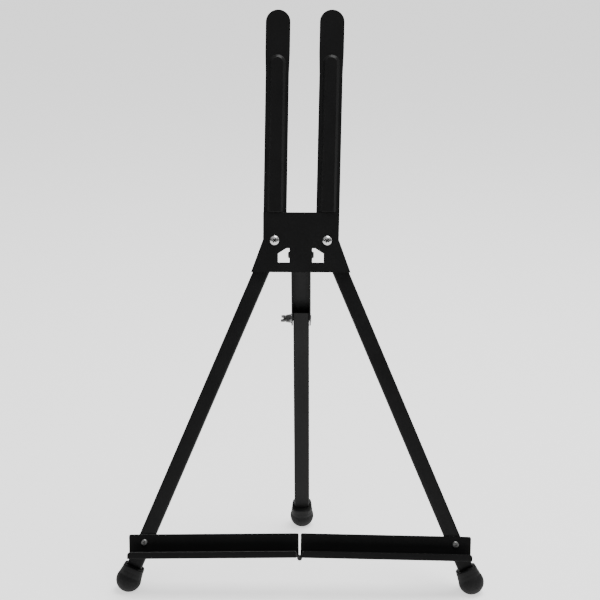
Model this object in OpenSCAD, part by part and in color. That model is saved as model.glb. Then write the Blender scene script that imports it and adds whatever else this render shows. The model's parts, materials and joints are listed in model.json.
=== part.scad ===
/* [Stance] */
// Angle that the front frame leans back from vertical, degrees
lean = 14; // [8:0.5:18]
// Angle of each front leg from the frame's centre line, degrees
leg_angle = 23.16; // [23:0.01:24]
// Angle between the rear leg and the front frame, degrees
rear_angle = 27.4; // [24:0.2:30]

/* [Head] */
// Thickness of the pressed sheet in the plate, channels and ledge
sheet = 0.8; // [0.7:0.05:0.85]
// Distance of each pivot screw from the centre line
screw_x = 17.2; // [17:0.1:18]
// Height of the plate above the pivot screws
plate_above = 18.4; // [12:0.2:24]
// Depth of the plate below the pivot screws
plate_below = 20.8; // [20:0.2:22]
// Half width of the plate at its top edge
plate_half_top = 24.7; // [24.7:0.1:26]
// Half width of the plate at its bottom edge
plate_half_bottom = 32.6; // [32.6:0.1:34]
// Depth of the side flanges that stop the legs
flange_depth = 8.4; // [5:0.2:9]
// Depth of the two ears that carry the rear leg
ear_depth = 7.5; // [7.4:0.1:9]

/* [Masts] */
// Length of a mast above its pivot screw
mast_length = 149.8; // [100:0.2:200]
// Width of the flat tip
mast_tip_w = 16; // [15:0.1:18]
// Width of the ribbed part
mast_w = 15.2; // [14:0.1:15.2]
// Thickness of the mast strip
mast_t = 1; // [0.8:0.1:1]
// Height of the embossed rib
rib_h = 1.6; // [1:0.1:2]
// Width of the embossed rib at its foot
rib_w = 10.8; // [9:0.1:11.5]
// Distance from the mast's tip to the top of the rib
rib_start = 29.2; // [20:0.2:40]
// Sideways set of the left mast, degrees
left_mast_set = 0.75; // [0:0.05:1]
// Sideways set of the right mast, degrees
right_mast_set = 1.05; // [0:0.05:1.2]

/* [Front legs] */
// Width of a front leg
leg_w = 10.2; // [9.5:0.1:10.2]
// Depth of a front leg's channel
leg_depth = 7; // [6.6:0.1:7.4]
// Distance from pivot screw to the middle of the foot's bulb
leg_reach = 245.2; // [242:0.2:250]
// Radius of a foot's bulb
foot_r = 8.4; // [8.3:0.1:8.6]
// Height of the bulb's middle above the ground
foot_height = 7.5; // [7.3:0.1:8]

/* [Ledge] */
// Distance of each ledge rivet from the centre line
rivet_x = 102.7; // [102.5:0.1:102.9]
// Half length of the ledge
ledge_half = 112.8; // [111:0.1:113.5]
// Height of the ledge's back wall
wall_h = 14.1; // [12:0.1:15]
// Depth of the shelf between wall and lip
shelf_depth = 10.2; // [8:0.1:11]
// Height of the front lip
lip_h = 4.7; // [3.6:0.1:6]
// Gap between the two halves
ledge_gap = 1.3; // [1:0.1:1.6]
// Slope of each half up to the centre, degrees
ledge_tilt = 0.85; // [0.4:0.05:1.2]

/* [Rear leg] */
// Distance from the rear hinge to the clamp bolt
knee_reach = 48.6; // [40:0.2:60]
// Outer width of the upper bracket
bracket_w = 12.9; // [12.8:0.05:12.9]
// Width of the lower leg
rear_w = 10.7; // [10.3:0.1:10.7]
// Turn of the wing nut's wings, degrees
wing_turn = -19; // [-90:1:90]

/* [Hidden] */
$fn = 48;

paint = [0.09, 0.09, 0.1];
rubber_black = [0.13, 0.13, 0.13];
plated = [0.75, 0.75, 0.77];
eps = 0.01;

// Layers of the frame, counted back from the plate's rear face
washer_t = 0.5;
leg_y = mast_t + washer_t + 0.1;
leg_mid_y = leg_y + leg_depth / 2;
wall_y = leg_y - 0.3 - sheet;
lip_y = wall_y - shelf_depth - sheet;

// Hardware
screw_r = 1.5;
running = 0.05;
screw_head_r = 3;
nut_flat = 5.5;
nut_h = 2.4;
rivet_r = 1.4;
rivet_head_r = 2.25;
pin_r = 0.8;
lug_r = 1.7;

// Ledge heights, from the pivot screws
rivet_z = -(rivet_x - screw_x) / tan(leg_angle);
rivet_reach = (rivet_x - screw_x) / sin(leg_angle);
ledge_top_z = rivet_z + 5.35;
ledge_bottom_z = ledge_top_z - wall_h;
lip_inset = 2.1;

// Centre pin: in a half's own axes before it is tilted, and where it stands
flat_pin_z = ledge_bottom_z - 2.2;
pin_drop = rivet_z - flat_pin_z;
flat_pin_x = rivet_x - (rivet_x - pin_drop * sin(ledge_tilt)) / cos(ledge_tilt);
pin_z = rivet_z + (rivet_x - flat_pin_x) * sin(ledge_tilt) - pin_drop * cos(ledge_tilt);
end_drop = (ledge_half - rivet_x) * sin(ledge_tilt);

// Rear leg: its hinge, and the clearances of the nested channels
hinge_y = 5;
hinge_z = -9.5;
hinge_r = 1.25;
ear_inner = bracket_w / 2 + 0.15;
ear_top = -5.1;
ear_bottom = -14.35;
bracket_front = 3.6;
bracket_back = 5.4;
bracket_top = 3.6;
bracket_tail = 3.4;
rear_front = 3.4;
rear_back = 2.6;
rear_top = 6.2;
rear_corner = 1.8;
clamp_x = bracket_w / 2;

// Heights above the ground and the origin below the middle of the whole stand
function up(y, z) = z * cos(lean) - y * sin(lean);
function back(y, z) = y * cos(lean) + z * sin(lean);
bulb_z = -leg_reach * cos(leg_angle);
rise = foot_height - up(leg_mid_y, bulb_z);
rear_drop = cos(rear_angle - lean);
rear_reach = (rise + up(hinge_y, hinge_z) - foot_height) / rear_drop;
front_limit = min(
    back(leg_mid_y, bulb_z) - foot_r,
    back(lip_y, ledge_bottom_z - end_drop)
);
rear_limit = back(hinge_y, hinge_z) + rear_reach * sin(rear_angle - lean) + foot_r;
shift_y = -(front_limit + rear_limit) / 2;

// Moves a shape from the frame's own upright axes to where it stands
module stand() {
    translate([0, shift_y, rise]) rotate([-lean, 0, 0]) children();
}

// Turns a shape from the rear leg's own axes to the frame's axes
module rear() {
    translate([0, hinge_y, hinge_z]) rotate([rear_angle, 0, 0]) children();
}

// Turns a shape from a front leg's own axes to the frame's axes
module front(side) {
    translate([side * screw_x, 0, 0]) rotate([0, -side * leg_angle, 0]) children();
}

// A flat outline in x and z, made solid between y0 and y1
module slab(y0, y1) {
    translate([0, y1, 0]) rotate([90, 0, 0]) linear_extrude(y1 - y0) children();
}

// A round bar along y
module bar_y(x, z, r, y0, y1) {
    translate([x, y1, z]) rotate([90, 0, 0]) cylinder(r = r, h = y1 - y0);
}

// A round bar along x
module bar_x(y, z, r, x0, x1) {
    translate([x0, y, z]) rotate([0, 90, 0]) cylinder(r = r, h = x1 - x0);
}

// Section of a bent channel: web on the x axis, open towards +y
module channel_section(w, depth, bend) {
    inner_bend = bend - sheet;
    difference() {
        bent_box(w, depth, bend);
        translate([0, sheet]) bent_box(w - 2 * sheet, depth, inner_bend);
    }
}

module bent_box(w, depth, bend) {
    translate([-w / 2 + bend, 0]) square([w - 2 * bend, depth]);
    translate([-w / 2, bend]) square([w, depth - bend]);
    for (side = [-1, 1]) translate([side * (w / 2 - bend), bend]) circle(r = bend);
}

// ---- Head ----

module plate_outline() {
    polygon([
        [-plate_half_top, plate_above], [plate_half_top, plate_above],
        [plate_half_top, 0.7], [plate_half_bottom, -plate_below],
        [-plate_half_bottom, -plate_below], [-plate_half_top, 0.7]
    ]);
}

// The window that is left where an ear is bent back
module window_outline() {
    outer = ear_inner + sheet + ear_depth;
    polygon([
        [ear_inner + sheet, ear_top], [outer - 5.45, ear_top],
        [outer, ear_top - 3.5], [outer, ear_bottom], [ear_inner + sheet, ear_bottom]
    ]);
}

// Side flange that follows the plate's flared edge
module side_flange() {
    slope = (plate_half_bottom - plate_half_top) / (plate_below + 0.7);
    start = -2.2;
    thick = sheet / cos(atan(slope));
    x_start = plate_half_top + slope * (0.7 - start);
    slab(-sheet, flange_depth) polygon([
        [x_start, start], [plate_half_bottom, -plate_below],
        [plate_half_bottom - thick, -plate_below], [x_start - thick, start]
    ]);
}

// Ear bent back beside the rear bracket
module ear() {
    translate([ear_inner, 0, 0]) rotate([90, 0, 90]) linear_extrude(sheet) polygon([
        [-sheet, ear_top], [ear_depth - 5.45, ear_top],
        [ear_depth, ear_top - 3.5], [ear_depth, ear_bottom], [-sheet, ear_bottom]
    ]);
}

module head_plate() {
    color(paint) stand() difference() {
        union() {
            slab(-sheet, 0) difference() {
                plate_outline();
                window_outline();
                mirror([1, 0]) window_outline();
            }
            for (side = [0, 1]) mirror([side, 0, 0]) {
                side_flange();
                ear();
            }
        }
        for (side = [-1, 1]) bar_y(side * screw_x, 0, screw_r + running, -2, 2);
        bar_x(hinge_y, hinge_z, hinge_r + running, -10, 10);
    }
}

module mast_outline() {
    tip_r = mast_tip_w / 2;
    circle(r = mast_w / 2);
    translate([0, mast_length - tip_r]) circle(r = tip_r);
    polygon([
        [-mast_w / 2, 0], [mast_w / 2, 0],
        [mast_w / 2, mast_length - rib_start - 12], [tip_r, mast_length - rib_start + 1],
        [tip_r, mast_length - tip_r], [-tip_r, mast_length - tip_r],
        [-tip_r, mast_length - rib_start + 1], [-mast_w / 2, mast_length - rib_start - 12]
    ]);
}

// Raised part of a mast: straight sides at 45 degrees and a round top end
module rib(foot_w, height) {
    top = mast_length - rib_start - foot_w / 2;
    foot = plate_above + 0.2;
    translate([0, 0, foot]) linear_extrude(top - foot) polygon([
        [-foot_w / 2, 0], [-foot_w / 2 + height, -height],
        [foot_w / 2 - height, -height], [foot_w / 2, 0]
    ]);
    translate([0, 0, top]) rotate([90, 0, 0])
        cylinder(r1 = foot_w / 2, r2 = foot_w / 2 - height, h = height);
}

module mast(side, set) {
    hollow_w = rib_w - 1.2;
    color(paint) stand() translate([side * screw_x, 0, 0]) rotate([0, set, 0])
        difference() {
            union() {
                slab(0, mast_t) mast_outline();
                rib(rib_w, rib_h);
            }
            translate([0, mast_t, 0]) difference() {
                rib(hollow_w, rib_h);
                translate([-20, -20, 0]) cube([40, 40, plate_above + 2]);
            }
            bar_y(0, 0, screw_r + running, -2, 2);
        }
}

// Pan-head screw with a cross recess
module pivot_screw(side) {
    head_h = 1.9;
    rim = 0.8;
    slot_w = 0.95;
    slot_l = 3.1;
    shank = mast_t + washer_t + sheet + nut_h + 1.1;
    color(plated) stand() translate([side * screw_x, -sheet, 0]) difference() {
        union() {
            rotate([90, 0, 0]) rotate_extrude() {
                square([screw_head_r, rim]);
                intersection() {
                    translate([0, rim - 3.6]) circle(r = 4.7);
                    translate([0, rim]) square([screw_head_r, head_h - rim]);
                }
            }
            bar_y(0, 0, screw_r, -eps, shank + sheet);
        }
        for (turn = [35, 125]) rotate([0, turn, 0])
            translate([-slot_l / 2, -head_h - 1, -slot_w / 2]) cube([slot_l, 2.1, slot_w]);
    }
}

module ring_y(side, r_out, r_in, y0, y1) {
    difference() {
        bar_y(side * screw_x, 0, r_out, y0, y1);
        bar_y(side * screw_x, 0, r_in, y0 - 1, y1 + 1);
    }
}

module pivot_washer(side) {
    color(plated) stand() ring_y(side, 3.5, screw_r + running, mast_t, mast_t + washer_t);
}

module pivot_nut(side) {
    front_y = leg_y + sheet + 0.12;
    color(plated) stand() difference() {
        translate([side * screw_x, front_y + nut_h, 0]) rotate([90, 0, 0])
            cylinder(d = nut_flat / cos(30), h = nut_h, $fn = 6);
        bar_y(side * screw_x, 0, screw_r + running, 0, 20);
    }
}

module rear_hinge_rivet() {
    end_x = ear_inner + sheet;
    color(plated) stand() difference() {
        union() {
            bar_x(hinge_y, hinge_z, hinge_r, -end_x - 1, end_x + 1);
            for (side = [-1, 1]) translate([side * end_x, hinge_y, hinge_z])
                rotate([0, side * 90, 0]) cylinder(r1 = 2.3, r2 = 1.9, h = 1.1);
        }
        bar_x(hinge_y, hinge_z, 0.7, end_x + 0.3, end_x + 3);
    }
}

// ---- Front legs ----

module front_leg(side) {
    end = leg_reach - 2;
    color(paint) stand() front(side) difference() {
        union() {
            translate([0, leg_y, -end]) linear_extrude(end)
                channel_section(leg_w, leg_depth, 1.2);
            bar_y(0, 0, leg_w / 2, leg_y, leg_y + sheet);
        }
        bar_y(0, 0, screw_r + running, 0, 20);
        bar_y(0, -rivet_reach, rivet_r + running, 0, 20);
        bar_y(0, -rivet_reach, rivet_head_r + 0.2, leg_y + sheet + 2.2, 20);
    }
}

// Rubber foot: a tapered sleeve over the channel's end that swells into a round bulb
module foot_body(w, depth, mid_y) {
    sleeve = 9.8;
    difference() {
        translate([0, mid_y, 0]) rotate([0, 0, 30]) {
            sphere(r = foot_r);
            cylinder(r1 = foot_r - 0.15, r2 = foot_r - 1.5, h = sleeve);
        }
        translate([-w / 2, mid_y - depth / 2, 2]) cube([w, depth, 20]);
    }
}

module above_ground() {
    difference() {
        children();
        translate([-500, -500, -50]) cube([1000, 1000, 50]);
    }
}

module front_foot(side) {
    color(rubber_black) above_ground() stand() front(side)
        translate([0, 0, -leg_reach]) foot_body(leg_w, leg_depth, leg_mid_y);
}

// Hollow rivet: flat head in front, shank, and a rolled tail behind
module ledge_rivet(side, y0, y1, with_head, with_tail) {
    head_t = 0.7;
    color(plated) stand() translate([side * rivet_x, 0, rivet_z]) difference() {
        union() {
            bar_y(0, 0, rivet_r, y0, y1);
            if (with_head) translate([0, y0, 0]) rotate([90, 0, 0])
                cylinder(r1 = rivet_head_r, r2 = rivet_head_r - 0.5, h = head_t);
            if (with_tail) bar_y(0, 0, rivet_r + 0.6, y1, y1 + 0.8);
        }
        bar_y(0, 0, 0.85, y0 - 2, y0 + 0.2);
        bar_y(0, 0, 0.85, y1 + 0.1, y1 + 2);
    }
}

// ---- Ledge ----

module tray_section() {
    depth = shelf_depth + 2 * sheet;
    difference() {
        tray_side(depth, wall_h, 1.3);
        translate([sheet, sheet]) tray_side(shelf_depth, wall_h, 0.5);
        translate([-1, lip_h]) square([1 + sheet + 1, wall_h]);
    }
}

module tray_side(depth, height, bend) {
    translate([bend, 0]) square([depth - 2 * bend, height]);
    translate([0, bend]) square([depth, height - bend]);
    for (y = [bend, depth - bend]) translate([y, bend]) circle(r = bend);
}

// Cuts a round corner on an upright sheet: apex at x, z, open towards sx, sz
module corner_cut(x, z, sx, sz, r, y0, y1) {
    slab(y0, y1) difference() {
        translate([sx > 0 ? x - r : x - 1, sz > 0 ? z - r : z - 1]) square([r + 1, r + 1]);
        translate([x - sx * r, z - sz * r]) circle(r = r);
    }
}

// Turns the right half of the ledge about its rivet, so that it rises to the centre
module tilted() {
    translate([rivet_x, 0, rivet_z]) rotate([0, ledge_tilt, 0])
        translate([-rivet_x, 0, -rivet_z]) children();
}

// The right half of the ledge; the left half is its mirror image but for its lug
module ledge_half_body() {
    inner = ledge_gap / 2;
    lip_top_z = ledge_bottom_z + lip_h;
    difference() {
        translate([inner, lip_y, ledge_bottom_z]) rotate([90, 0, 90])
            linear_extrude(ledge_half - inner) tray_section();
        translate([-1, lip_y - 1, ledge_bottom_z - 1]) cube([1 + lip_inset, 3.5, 9]);
        corner_cut(inner, ledge_top_z, -1, 1, 1, wall_y - 1, 5);
        corner_cut(ledge_half, ledge_top_z, 1, 1, 1.2, wall_y - 1, 5);
        corner_cut(lip_inset, lip_top_z, -1, 1, 1.2, lip_y - 1, lip_y + 1.2);
        corner_cut(ledge_half, lip_top_z, 1, 1, 2, lip_y - 1, lip_y + 1.2);
        bar_y(rivet_x, rivet_z, rivet_r + running + 0.02, -5, 5);
    }
}

// Lug that hangs below the shelf and carries the centre rivet
module lug(y0, y1) {
    difference() {
        translate([flat_pin_x, 0, 0]) {
            slab(y0, y1) polygon([
                [0, flat_pin_z - lug_r], [4, ledge_bottom_z + 0.4],
                [0.9, ledge_bottom_z + 0.4], [0, flat_pin_z + lug_r]
            ]);
            bar_y(0, flat_pin_z, lug_r, y0, y1);
        }
        bar_y(flat_pin_x, flat_pin_z, pin_r + running, y0 - 1, y1 + 1);
    }
}

module left_ledge() {
    color(paint) stand() mirror([1, 0, 0]) tilted() {
        difference() {
            ledge_half_body();
            bar_y(flat_pin_x, flat_pin_z, lug_r, wall_y, wall_y + sheet);
        }
        lug(wall_y, wall_y + sheet);
    }
}

module right_ledge() {
    color(paint) stand() tilted() {
        ledge_half_body();
        lug(wall_y - 0.1 - sheet, wall_y - 0.1);
    }
}

module ledge_centre_rivet() {
    front_y = wall_y - 0.1 - sheet;
    color(plated) stand() {
        bar_y(0, pin_z, pin_r, front_y - 0.1, wall_y + sheet);
        bar_y(0, pin_z, 1.4, front_y - 0.6, front_y - 0.08);
    }
}

// ---- Rear leg ----

module rear_bracket() {
    length = bracket_top + knee_reach + bracket_tail;
    color(paint) stand() rear() difference() {
        translate([0, bracket_back, bracket_top - length]) mirror([0, 1, 0])
            linear_extrude(length)
                channel_section(bracket_w, bracket_front + bracket_back, 1.2);
        bar_x(0, 0, hinge_r + running, -10, 10);
        bar_x(0, -knee_reach, screw_r + running, -10, 10);
    }
}

module rear_leg() {
    end = rear_reach - 2;
    top_z = rear_top - knee_reach;
    color(paint) stand() rear() difference() {
        translate([0, -rear_front, -end]) linear_extrude(end + top_z)
            channel_section(rear_w, rear_front + rear_back, 1.2);
        bar_x(0, -knee_reach, screw_r + running, -10, 10);
        translate([-10, 0, 0]) rotate([90, 0, 90]) linear_extrude(20) polygon([
            [rear_back + 1, top_z - rear_corner - 1], [rear_back + 1, top_z + 1],
            [rear_back - rear_corner - 1, top_z + 1]
        ]);
    }
}

module rear_foot() {
    mid = (rear_back - rear_front) / 2;
    color(rubber_black) above_ground() stand() rear()
        translate([0, 0, -rear_reach]) foot_body(rear_w, rear_front + rear_back, mid);
}

// Threaded stud with a thin flush head, pressed into the bracket's right flange
module clamp_bolt() {
    color(plated) stand() rear() {
        bar_x(0, -knee_reach, screw_r, -clamp_x - 5.6, clamp_x + 0.2);
        translate([clamp_x, 0, -knee_reach]) rotate([0, 90, 0])
            cylinder(r1 = 2.6, r2 = 2.3, h = 0.4);
    }
}

module clamp_washer() {
    color(plated) stand() rear() difference() {
        bar_x(0, -knee_reach, 3.4, -clamp_x - 0.5, -clamp_x);
        bar_x(0, -knee_reach, screw_r + running, -clamp_x - 2, -clamp_x + 1);
    }
}

// Wing outline in the plane of the bolt: y outwards from the axis, x along it
module wing_outline() {
    hull() {
        translate([-2.2, 1.2]) circle(r = 1.1, $fn = 32);
        translate([-5.1, 6.9]) circle(r = 1.5, $fn = 32);
        translate([-1.3, 1.2]) circle(r = 1.1, $fn = 32);
        translate([-3.2, 6.0]) circle(r = 1.2, $fn = 32);
    }
}

module wing_nut() {
    wing_t = 1.3;
    seat_x = -clamp_x - 0.55;
    color(plated) stand() rear() translate([seat_x, 0, -knee_reach])
        rotate([wing_turn, 0, 0]) difference() {
            union() {
                rotate([0, -90, 0]) cylinder(r1 = 3, r2 = 2.5, h = 3.2);
                for (half = [0, 180]) rotate([half, 0, 0])
                    translate([0, 0, -wing_t / 2]) linear_extrude(wing_t) wing_outline();
            }
            bar_x(0, 0, screw_r + running, -10, 1);
            translate([0, -10, -10]) cube([5, 20, 20]);
        }
}

head_plate();
mast(-1, left_mast_set);  // left_mast
mast(1, right_mast_set);  // right_mast
pivot_screw(-1);  // left_pivot_screw
pivot_screw(1);  // right_pivot_screw
pivot_washer(-1);  // left_pivot_washer
pivot_washer(1);  // right_pivot_washer
pivot_nut(-1);  // left_pivot_nut
pivot_nut(1);  // right_pivot_nut
rear_hinge_rivet();
front_leg(-1);  // left_leg
front_leg(1);  // right_leg
front_foot(-1);  // left_foot
front_foot(1);  // right_foot
ledge_rivet(-1, wall_y, leg_y + sheet, true, true);  // left_ledge_rivet
ledge_rivet(1, wall_y, wall_y + sheet + 0.1, true, false);  // right_ledge_rivet
ledge_rivet(1, leg_y, leg_y + sheet, false, true);  // right_rivet_tail
left_ledge();
right_ledge();
ledge_centre_rivet();
rear_bracket();
rear_leg();
rear_foot();
clamp_bolt();
clamp_washer();
wing_nut();
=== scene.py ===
"""Folding tripod stand: looks, floor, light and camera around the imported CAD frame. Metres."""
import json
import math

import bmesh
import bpy
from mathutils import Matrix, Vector


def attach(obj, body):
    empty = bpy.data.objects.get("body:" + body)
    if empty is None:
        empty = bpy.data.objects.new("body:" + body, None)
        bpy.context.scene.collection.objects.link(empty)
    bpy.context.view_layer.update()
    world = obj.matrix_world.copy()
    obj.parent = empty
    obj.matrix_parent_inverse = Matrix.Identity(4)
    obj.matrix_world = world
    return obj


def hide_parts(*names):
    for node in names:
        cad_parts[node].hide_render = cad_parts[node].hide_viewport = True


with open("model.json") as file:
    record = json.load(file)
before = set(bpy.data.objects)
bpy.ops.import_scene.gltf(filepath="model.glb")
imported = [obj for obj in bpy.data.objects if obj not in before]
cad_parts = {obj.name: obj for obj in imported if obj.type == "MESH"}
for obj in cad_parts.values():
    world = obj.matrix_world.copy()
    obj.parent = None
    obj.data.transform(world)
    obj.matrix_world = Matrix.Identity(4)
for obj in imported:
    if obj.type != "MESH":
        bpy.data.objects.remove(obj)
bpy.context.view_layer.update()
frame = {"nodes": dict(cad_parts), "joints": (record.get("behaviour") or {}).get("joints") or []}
joints = {joint["name"]: joint for joint in frame["joints"]}

MM = 0.001


def joint_point(name):
    """A point on a joint's axis, from the frame."""
    return Vector(joints[name]["pos_m"])


# ---- Driving dimensions, in metres, as in the CAD model ----
LEG_REACH = 245.2 * MM       # pivot screw to the middle of a front foot's bulb
LEG_MIDDLE = 5.1 * MM        # middle of a front leg's channel behind the screws' plane
LEG_SECTION = (10.2 * MM, 7.0 * MM)
REAR_SECTION = (10.7 * MM, 6.0 * MM)
REAR_MIDDLE = -0.4 * MM      # middle of the rear leg's channel from its hinge line
BULB_R = 8.39 * MM           # foot's bulb, just inside the CAD model's 8.4
FOOT_HEIGHT = 7.5 * MM       # bulb's middle above the ground
SLEEVE_TOP = 9.8 * MM        # top of a foot's sleeve above the bulb's middle
SLEEVE_TOP_R = 6.9 * MM      # half its width at the top
SLEEVE_TOP_DEPTH = 8.2 * MM  # half its depth at the top
SLEEVE_POWER = 3.5           # how square the top is; 2 is round
SLEEVE_BASE_R = 8.25 * MM
HOLE_DEPTH = 2.6 * MM        # visible part of the hole for the leg
HOLE_FLARE = 0.15 * MM
GROOVE_TOP = 6.9 * MM        # moulded groove round the sleeve
GROOVE = 1.0 * MM
SHEET = 0.8 * MM
SHANK_R = 1.5 * MM           # pivot screws and clamp stud
HEAD_H = 1.9 * MM            # pan head's height on the sheet
THREAD_PITCH = 0.5 * MM
RECESS_REACH = 1.75 * MM     # cross recess from the screw's axis
RECESS_SINK = 0.5 * MM       # how far it goes below the sheet's face
DOME_SPAN = 9.4 * MM         # twice the radius of the screw head's dome

FRAME_NORMAL = Vector(joints["leg_fold"]["axis"]).normalized()   # towards the reader
ACROSS = Vector((1.0, 0.0, 0.0))


# ---- Node material helpers ----

def new_material(name):
    material = bpy.data.materials.new(name)
    material.use_nodes = True
    tree = material.node_tree
    return material, tree, tree.nodes["Principled BSDF"]


def add_node(tree, kind, **inputs):
    node = tree.nodes.new(kind)
    for key, value in inputs.items():
        node.inputs[key.replace("_", " ")].default_value = value
    return node


def noise(tree, position, scale, detail=3.0, roughness=0.5):
    node = add_node(tree, "ShaderNodeTexNoise", Scale=scale, Detail=detail, Roughness=roughness)
    tree.links.new(position, node.inputs["Vector"])
    return node.outputs["Fac"]


def remap(tree, value, low_in, high_in, low_out, high_out):
    node = tree.nodes.new("ShaderNodeMapRange")
    for key, number in zip(("From Min", "From Max", "To Min", "To Max"),
                           (low_in, high_in, low_out, high_out)):
        node.inputs[key].default_value = number
    tree.links.new(value, node.inputs["Value"])
    return node.outputs["Result"]


def blend_colours(tree, factor, first, second):
    node = tree.nodes.new("ShaderNodeMix")
    node.data_type = "RGBA"
    tree.links.new(factor, node.inputs["Factor"])
    for socket, colour in (("A", first), ("B", second)):
        target = [s for s in node.inputs if s.name == socket and s.type == "RGBA"][0]
        if isinstance(colour, tuple):
            target.default_value = (*colour, 1.0)
        else:
            tree.links.new(colour, target)
    return [s for s in node.outputs if s.type == "RGBA"][0]


def add_bump(tree, shader, height, strength, distance):
    bump = add_node(tree, "ShaderNodeBump", Strength=strength, Distance=distance)
    tree.links.new(height, bump.inputs["Height"])
    tree.links.new(bump.outputs["Normal"], shader.inputs["Normal"])


def object_position(tree):
    return tree.nodes.new("ShaderNodeTexCoord").outputs["Object"]


def paint_material(name, dark, light, specular):
    """Satin black baked paint: faint clouds, orange peel and dust specks."""
    material, tree, shader = new_material(name)
    position = object_position(tree)
    clouds = noise(tree, position, 38.0, 5.0, 0.6)
    base = blend_colours(tree, remap(tree, clouds, 0.3, 0.7, 0.0, 1.0), dark, light)
    specks = remap(tree, noise(tree, position, 2600.0, 2.0), 0.70, 0.78, 0.0, 0.30)
    speckled = blend_colours(tree, specks, base, (0.035, 0.035, 0.035))
    tree.links.new(speckled, shader.inputs["Base Color"])
    handled = noise(tree, position, 75.0, 4.0, 0.65)
    tree.links.new(remap(tree, handled, 0.3, 0.7, 0.32, 0.37), shader.inputs["Roughness"])
    shader.inputs["Specular IOR Level"].default_value = specular
    add_bump(tree, shader, noise(tree, position, 1500.0, 2.0), 0.10, 0.0001)
    return material


def rubber_material():
    """Matt moulded rubber with a fine grain, paler towards the ground."""
    material, tree, shader = new_material("rubber")
    position = object_position(tree)
    clouds = noise(tree, position, 180.0, 5.0, 0.6)
    base = blend_colours(tree, clouds, (0.0034, 0.0034, 0.0034), (0.0070, 0.0070, 0.0071))
    separate = tree.nodes.new("ShaderNodeSeparateXYZ")
    tree.links.new(position, separate.inputs["Vector"])
    # Paler in the lowest 6 mm of the foot
    low = remap(tree, separate.outputs["Z"], 0.0, 0.006, 0.45, 0.0)
    paler_low = blend_colours(tree, low, base, (0.026, 0.026, 0.025))
    tree.links.new(paler_low, shader.inputs["Base Color"])
    grain = noise(tree, position, 1900.0, 3.0, 0.6)
    tree.links.new(remap(tree, grain, 0.3, 0.7, 0.62, 0.80), shader.inputs["Roughness"])
    shader.inputs["Specular IOR Level"].default_value = 0.20
    add_bump(tree, shader, grain, 0.22, 0.00012)
    return material


def metal_material(name, colour, tint, rough_low, rough_high, brushed):
    """Plated steel: slight tint clouds, fine turning marks and dull spots."""
    material, tree, shader = new_material(name)
    position = object_position(tree)
    clouds = noise(tree, position, 420.0, 4.0, 0.6)
    tree.links.new(blend_colours(tree, clouds, colour, tint), shader.inputs["Base Color"])
    shader.inputs["Metallic"].default_value = 1.0
    marks = noise(tree, position, 1400.0, 4.0, 0.7)
    rough = remap(tree, marks, 0.3, 0.7, rough_low, rough_high)
    tree.links.new(rough, shader.inputs["Roughness"])
    add_bump(tree, shader, marks, brushed, 0.00006)
    return material


# ---- Materials ----
PAINT = paint_material("satin_black_paint", (0.0056, 0.0056, 0.0057),
                       (0.0066, 0.0066, 0.0067), 0.165)
# Same black paint with a paler base and little sheen: painted light on the ledge, evening out its
# wall and lip
LEDGE_PAINT_LIT = paint_material("ledge_paint_painted_light", (0.0080, 0.0080, 0.0081),
                             (0.0092, 0.0092, 0.0093), 0.03)
# Same black paint with a paler base and less sheen: painted light standing in for the floor's
# reflection on the rear leg
REAR_PAINT_LIT = paint_material("rear_paint_painted_light", (0.0146, 0.0146, 0.0147),
                            (0.0166, 0.0166, 0.0167), 0.05)
# Same black paint with a paler base still and less sheen: painted light standing in for the floor's
# reflection on the bracket
BRACKET_PAINT_LIT = paint_material("bracket_paint_painted_light", (0.0230, 0.0230, 0.0231),
                               (0.0255, 0.0255, 0.0257), 0.05)
RUBBER = rubber_material()
BRIGHT = metal_material("bright_nickel", (0.56, 0.56, 0.55), (0.43, 0.43, 0.44), 0.14, 0.28, 0.12)
THREAD_X = metal_material("thread_along_x", (0.46, 0.46, 0.45), (0.36, 0.36, 0.36), 0.22, 0.36, 0.0)
THREAD_N = metal_material("thread_along_screws", (0.46, 0.46, 0.45), (0.36, 0.36, 0.36),
                          0.22, 0.36, 0.0)
RECESS = metal_material("recess_shadow", (0.030, 0.030, 0.030), (0.015, 0.015, 0.015),
                        0.45, 0.60, 0.2)
WING = metal_material("cast_zinc_wings", (0.14, 0.14, 0.137), (0.07, 0.07, 0.07), 0.24, 0.42, 0.30)
ZINC = metal_material("zinc_plate", (0.46, 0.46, 0.46), (0.36, 0.36, 0.37), 0.28, 0.44, 0.25)
RIVET = metal_material("rivet_steel", (0.25, 0.25, 0.245), (0.16, 0.16, 0.16), 0.30, 0.46, 0.25)
BLACK_RIVET = paint_material("blackened_rivet", (0.010, 0.010, 0.010), (0.016, 0.016, 0.016), 0.35)
# Paler copy of the paint for the bevelled edges: painted highlight along the cut edges
PAINT_EDGE_HIGHLIGHT = paint_material("paint_edge_highlight", (0.0050, 0.0050, 0.0051),
                            (0.0095, 0.0095, 0.0096), 0.20)
# Far paler copy for the ledge's bevelled edges: painted highlight along the lip's top edge
LEDGE_EDGE_HIGHLIGHT = paint_material("ledge_edge_highlight", (0.100, 0.100, 0.100),
                            (0.140, 0.140, 0.140), 0.50)

# Which CAD nodes wear which material
LOOKS = {
    PAINT: ("head_plate", "left_mast", "right_mast", "left_leg", "right_leg"),
    REAR_PAINT_LIT: ("rear_leg",),
    BRACKET_PAINT_LIT: ("rear_bracket",),
    LEDGE_PAINT_LIT: ("left_ledge", "right_ledge"),
    BRIGHT: ("left_pivot_screw", "right_pivot_screw", "clamp_bolt"),
    WING: ("wing_nut",),
    ZINC: ("left_pivot_washer", "right_pivot_washer", "left_pivot_nut", "right_pivot_nut",
           "clamp_washer"),
    RIVET: ("left_ledge_rivet", "right_ledge_rivet", "right_rivet_tail"),
    BLACK_RIVET: ("rear_hinge_rivet", "ledge_centre_rivet"),
}

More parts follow.
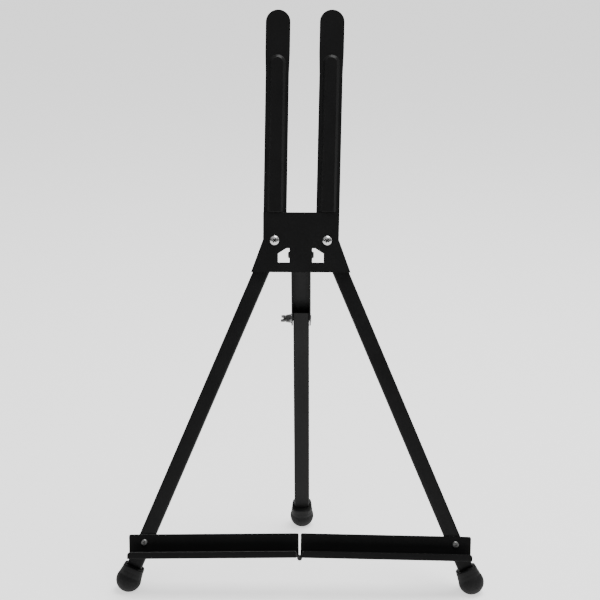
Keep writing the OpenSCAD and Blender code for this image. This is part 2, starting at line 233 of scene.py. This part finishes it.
# Painted highlight on the rounded cut edges: paler copies of the paint, where it is not the piece's
# own material
EDGE_HIGHLIGHTS = {PAINT: PAINT_EDGE_HIGHLIGHT, REAR_PAINT_LIT: PAINT_EDGE_HIGHLIGHT, BRACKET_PAINT_LIT: PAINT_EDGE_HIGHLIGHT,
         LEDGE_PAINT_LIT: LEDGE_EDGE_HIGHLIGHT}

# Width of the rounding on the cut edges
EDGE_ROUNDING = {PAINT: 0.28 * MM, REAR_PAINT_LIT: 0.28 * MM, BRACKET_PAINT_LIT: 0.28 * MM,
                 LEDGE_PAINT_LIT: 0.37 * MM, BRIGHT: 0.16 * MM, WING: 0.30 * MM, ZINC: 0.14 * MM,
                 RIVET: 0.14 * MM, BLACK_RIVET: 0.12 * MM}


def dress(node, material, rounding):
    """Gives a CAD node its material, and softens its cut edges with a bevel that carries the
    painted edge highlight.
    """
    piece = frame["nodes"][node]
    piece.data.materials.clear()
    piece.data.materials.append(material)
    # Second slot: for painted pieces a paler copy, the painted highlight on the bevelled edges
    piece.data.materials.append(EDGE_HIGHLIGHTS.get(material, material))
    if "custom_normal" in piece.data.attributes:
        piece.data.attributes.remove(piece.data.attributes["custom_normal"])
    weld = piece.modifiers.new("weld", "WELD")
    weld.merge_threshold = 0.002 * MM
    flat = piece.modifiers.new("flat_faces", "DECIMATE")
    flat.decimate_type = "DISSOLVE"
    flat.angle_limit = math.radians(0.6)
    bevel = piece.modifiers.new("edges", "BEVEL")
    bevel.width = rounding
    bevel.segments = 3
    bevel.limit_method = "ANGLE"
    bevel.angle_limit = math.radians(38)
    bevel.use_clamp_overlap = True
    # Bevel faces take the second slot: painted edge highlight
    bevel.material = 1
    bevel.harden_normals = True
    for polygon in piece.data.polygons:
        polygon.use_smooth = True


for material, names in LOOKS.items():
    for name in names:
        dress(name, material, EDGE_ROUNDING[material])


# ---- Threads and recesses on the hardware ----

def add_thread(material, tilt):
    """Rings of thread as bump, along x turned by the given angles."""
    tree = material.node_tree
    shader = tree.nodes["Principled BSDF"]
    turn = tree.nodes.new("ShaderNodeMapping")
    turn.inputs["Rotation"].default_value = tilt
    tree.links.new(object_position(tree), turn.inputs["Vector"])
    wave = tree.nodes.new("ShaderNodeTexWave")
    wave.wave_profile = "TRI"
    wave.inputs["Scale"].default_value = 2 * math.pi / (20 * THREAD_PITCH)
    tree.links.new(turn.outputs["Vector"], wave.inputs["Vector"])
    add_bump(tree, shader, wave.outputs["Fac"], 1.0, 0.00025)


def paint_faces(node, material, wanted):
    """Gives the faces of a CAD node that pass the test another material slot."""
    data = frame["nodes"][node].data
    data.materials.append(material)
    slot = len(data.materials) - 1
    for polygon in data.polygons:
        if wanted(polygon.center, polygon.normal):
            polygon.material_index = slot


def cylinder_test(origin, axis, radius):
    """Faces of a cylinder round the axis."""
    def wanted(centre, normal):
        offset = centre - origin
        radial = offset - offset.dot(axis) * axis
        return abs(normal.dot(axis)) < 0.3 and abs(radial.length - radius) < 0.05 * MM
    return wanted


def recess_test(origin):
    """Faces of the cross recess: within its reach and under the dome of the head."""
    def wanted(centre, normal):
        offset = centre - origin
        height = offset.dot(FRAME_NORMAL)
        radial = (offset - height * FRAME_NORMAL).length
        dome = SHEET + HEAD_H - radial * radial / DOME_SPAN
        return radial < RECESS_REACH and SHEET - RECESS_SINK < height < dome - 0.08 * MM
    return wanted


add_thread(THREAD_X, (0.0, 0.0, 0.0))
add_thread(THREAD_N, (math.atan2(FRAME_NORMAL.z, -FRAME_NORMAL.y), 0.0, math.radians(90)))
for side, joint in (("left", "leg_fold"), ("right", "right_leg_fold")):
    screw = side + "_pivot_screw"
    paint_faces(screw, THREAD_N, cylinder_test(joint_point(joint), FRAME_NORMAL, SHANK_R))
    paint_faces(screw, RECESS, recess_test(joint_point(joint)))
paint_faces("clamp_bolt", THREAD_X, cylinder_test(joint_point("knee"), ACROSS, SHANK_R))


# ---- Rubber feet ----

def superellipse(angle, half_w, half_d, power):
    """Distance from the middle to the edge of a rounded oblong."""
    c, s = abs(math.cos(angle)) / half_w, abs(math.sin(angle)) / half_d
    return (c ** power + s ** power) ** (-1.0 / power)


def foot_outside():
    """Rings over the rim, down the sleeve and round the bulb: height, half axes, squareness."""
    rim = 0.45 * MM
    meet = 3.1 * MM
    taper = (SLEEVE_BASE_R - SLEEVE_TOP_R) / SLEEVE_TOP
    meet_r = SLEEVE_TOP_R + (SLEEVE_TOP - meet) * taper
    rings = []
    for i in range(5):
        turn = math.radians(90 * i / 4)
        inset = rim * (1 - math.sin(turn))
        rings.append((SLEEVE_TOP - rim * (1 - math.cos(turn)),
                      SLEEVE_TOP_R - inset, SLEEVE_TOP_DEPTH - inset, SLEEVE_POWER))
    steps = 10
    for i in range(1, steps + 1):
        height = SLEEVE_TOP - rim - i * (SLEEVE_TOP - rim - meet) / steps
        groove = 0.12 * MM if GROOVE_TOP - GROOVE < height < GROOVE_TOP else 0.0
        share = (SLEEVE_TOP - height) / (SLEEVE_TOP - meet)
        rings.append((height,
                      SLEEVE_TOP_R + (SLEEVE_TOP - height) * taper - groove,
                      SLEEVE_TOP_DEPTH + share * (meet_r - SLEEVE_TOP_DEPTH) - groove,
                      SLEEVE_POWER + share * (2.0 - SLEEVE_POWER)))
    for i in range(1, 25):
        angle = math.asin(meet / BULB_R) * (1 - i / 24) - math.radians(88) * i / 24
        radius = BULB_R * math.cos(angle)
        rings.append((BULB_R * math.sin(angle), radius, radius, 2.0))
    return rings


def build_foot(name, centre, leg_up, section, body, node):
    """A lofted rubber cup: its hole is the leg's own oblong, its sleeve turns round downwards."""
    across = (ACROSS - ACROSS.dot(leg_up) * leg_up).normalized()
    depth = leg_up.cross(across)
    sides = 72
    angles = [2 * math.pi * k / sides for k in range(sides)]
    hole = [superellipse(angle, section[0] / 2, section[1] / 2, 8.0) for angle in angles]
    flared = [reach + HOLE_FLARE for reach in hole]
    rings = [(SLEEVE_TOP - HOLE_DEPTH, hole), (SLEEVE_TOP - 2 * HOLE_FLARE, hole),
             (SLEEVE_TOP - 0.05 * MM, flared)]
    for height, half_w, half_d, power in foot_outside():
        rings.append((height, [superellipse(angle, half_w, half_d, power) for angle in angles]))
    mesh = bmesh.new()
    rows = []
    for height, reaches in rings:
        row = []
        for angle, reach in zip(angles, reaches):
            offset = across * (reach * math.cos(angle)) + depth * (reach * math.sin(angle))
            place = centre + offset + leg_up * height
            place.z = max(place.z, 0.0)
            row.append(mesh.verts.new(place))
        rows.append(row)
    for upper, lower in zip(rows, rows[1:]):
        for k in range(sides):
            mesh.faces.new((upper[k], lower[k], lower[(k + 1) % sides], upper[(k + 1) % sides]))
    mesh.faces.new(rows[0])
    mesh.faces.new(list(reversed(rows[-1])))
    bmesh.ops.remove_doubles(mesh, verts=mesh.verts, dist=0.004 * MM)
    bmesh.ops.recalc_face_normals(mesh, faces=mesh.faces)
    data = bpy.data.meshes.new(name)
    mesh.to_mesh(data)
    mesh.free()
    for polygon in data.polygons:
        polygon.use_smooth = True
    piece = bpy.data.objects.new(name, data)
    bpy.context.scene.collection.objects.link(piece)
    data.materials.append(RUBBER)
    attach(piece, body)
    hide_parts(node)


def mirrored(point):
    """The same point on the stand's right side."""
    return Vector((-point.x, point.y, point.z))


left_screw = joint_point("leg_fold")
left_rivet = joint_point("left_ledge_fold")
left_up = (left_screw - left_rivet).normalized()
left_centre = left_screw - left_up * LEG_REACH - FRAME_NORMAL * LEG_MIDDLE
build_foot("rubber_foot_left", left_centre, left_up, LEG_SECTION, "left_leg", "left_foot")
build_foot("rubber_foot_right", mirrored(left_centre), mirrored(left_up), LEG_SECTION,
           "right_leg", "right_foot")

rear_hinge = joint_point("rear_fold")
rear_up = (rear_hinge - joint_point("knee")).normalized()
rear_depth = rear_up.cross(ACROSS).normalized()
if rear_depth.y < 0:
    rear_depth = -rear_depth
rear_reach = (rear_hinge.z - FOOT_HEIGHT) / rear_up.z
rear_centre = rear_hinge - rear_up * rear_reach + rear_depth * REAR_MIDDLE
build_foot("rubber_foot_rear", rear_centre, rear_up, REAR_SECTION, "rear_leg", "rear_foot")


# ---- Floor ----
FLOOR_HALF = 20.0
FLOOR_GAP = 0.1 * MM         # the feet stand just clear of the floor's surface

def build_floor():
    mesh = bmesh.new()
    bmesh.ops.create_grid(mesh, x_segments=1, y_segments=1, size=FLOOR_HALF)
    data = bpy.data.meshes.new("floor")
    mesh.to_mesh(data)
    mesh.free()
    floor = bpy.data.objects.new("floor", data)
    floor.location.z = -FLOOR_GAP
    bpy.context.scene.collection.objects.link(floor)
    material, tree, shader = new_material("white_floor")
    shader.inputs["Base Color"].default_value = (0.86, 0.86, 0.86, 1.0)
    shader.inputs["Roughness"].default_value = 0.9
    shader.inputs["Specular IOR Level"].default_value = 0.1
    shader.inputs["Emission Color"].default_value = (1.0, 1.0, 1.0, 1.0)
    shader.inputs["Emission Strength"].default_value = 1.05
    data.materials.append(material)


build_floor()


# ---- Light ----

def area_light(name, location, target, size, power):
    light = bpy.data.lights.new(name, "AREA")
    light.shape = "RECTANGLE"
    light.size, light.size_y = size
    light.energy = power
    lamp = bpy.data.objects.new(name, light)
    lamp.location = location
    direction = Vector(target) - Vector(location)
    lamp.rotation_mode = "QUATERNION"
    lamp.rotation_quaternion = direction.to_track_quat("-Z", "Y")
    bpy.context.scene.collection.objects.link(lamp)


area_light("top_softbox", (0.30, 0.05, 1.5), (0.0, 0.0, 0.2), (0.9, 0.8), 24.0)
area_light("right_strip", (1.25, -0.15, 0.75), (0.0, 0.0, 0.2), (0.35, 1.1), 1.8)

ROOM = 0.05                  # grey level around the horizon
CEILING = 0.75               # grey level overhead


def studio_world():
    """Dim room around the horizon, pale ceiling above; bright metal needs both to read as metal."""
    world = bpy.data.worlds.new("studio")
    bpy.context.scene.world = world
    world.use_nodes = True
    tree = world.node_tree
    separate = tree.nodes.new("ShaderNodeSeparateXYZ")
    tree.links.new(tree.nodes.new("ShaderNodeTexCoord").outputs["Generated"],
                   separate.inputs["Vector"])
    ramp = tree.nodes.new("ShaderNodeValToRGB")
    ramp.color_ramp.elements[0].position = 0.25
    ramp.color_ramp.elements[0].color = (ROOM, ROOM, ROOM, 1.0)
    ramp.color_ramp.elements[1].position = 0.80
    ramp.color_ramp.elements[1].color = (CEILING, CEILING, CEILING, 1.0)
    tree.links.new(separate.outputs["Z"], ramp.inputs["Fac"])
    tree.links.new(ramp.outputs["Color"], tree.nodes["Background"].inputs["Color"])
    tree.nodes["Background"].inputs["Strength"].default_value = 1.0


studio_world()


# ---- Camera, at the picture's viewing angle ----
CAMERA_AZIMUTH = math.radians(-0.93)
CAMERA_ELEVATION = math.radians(16.52)
CAMERA_DISTANCE = 0.9469
CAMERA_LENS = 85.9
TARGET_BELOW_SCREWS = 40.55 * MM
TARGET_X = -0.58 * MM

target = Vector((TARGET_X, left_screw.y, left_screw.z - TARGET_BELOW_SCREWS))
forward = Vector((math.sin(CAMERA_AZIMUTH) * math.cos(CAMERA_ELEVATION),
                  math.cos(CAMERA_AZIMUTH) * math.cos(CAMERA_ELEVATION),
                  -math.sin(CAMERA_ELEVATION)))
camera_data = bpy.data.cameras.new("camera")
camera_data.lens = CAMERA_LENS
camera_data.sensor_width = 36.0
camera = bpy.data.objects.new("camera", camera_data)
camera.location = target - forward * CAMERA_DISTANCE
camera.rotation_mode = "QUATERNION"
camera.rotation_quaternion = forward.to_track_quat("-Z", "Y")
bpy.context.scene.collection.objects.link(camera)
bpy.context.scene.camera = camera
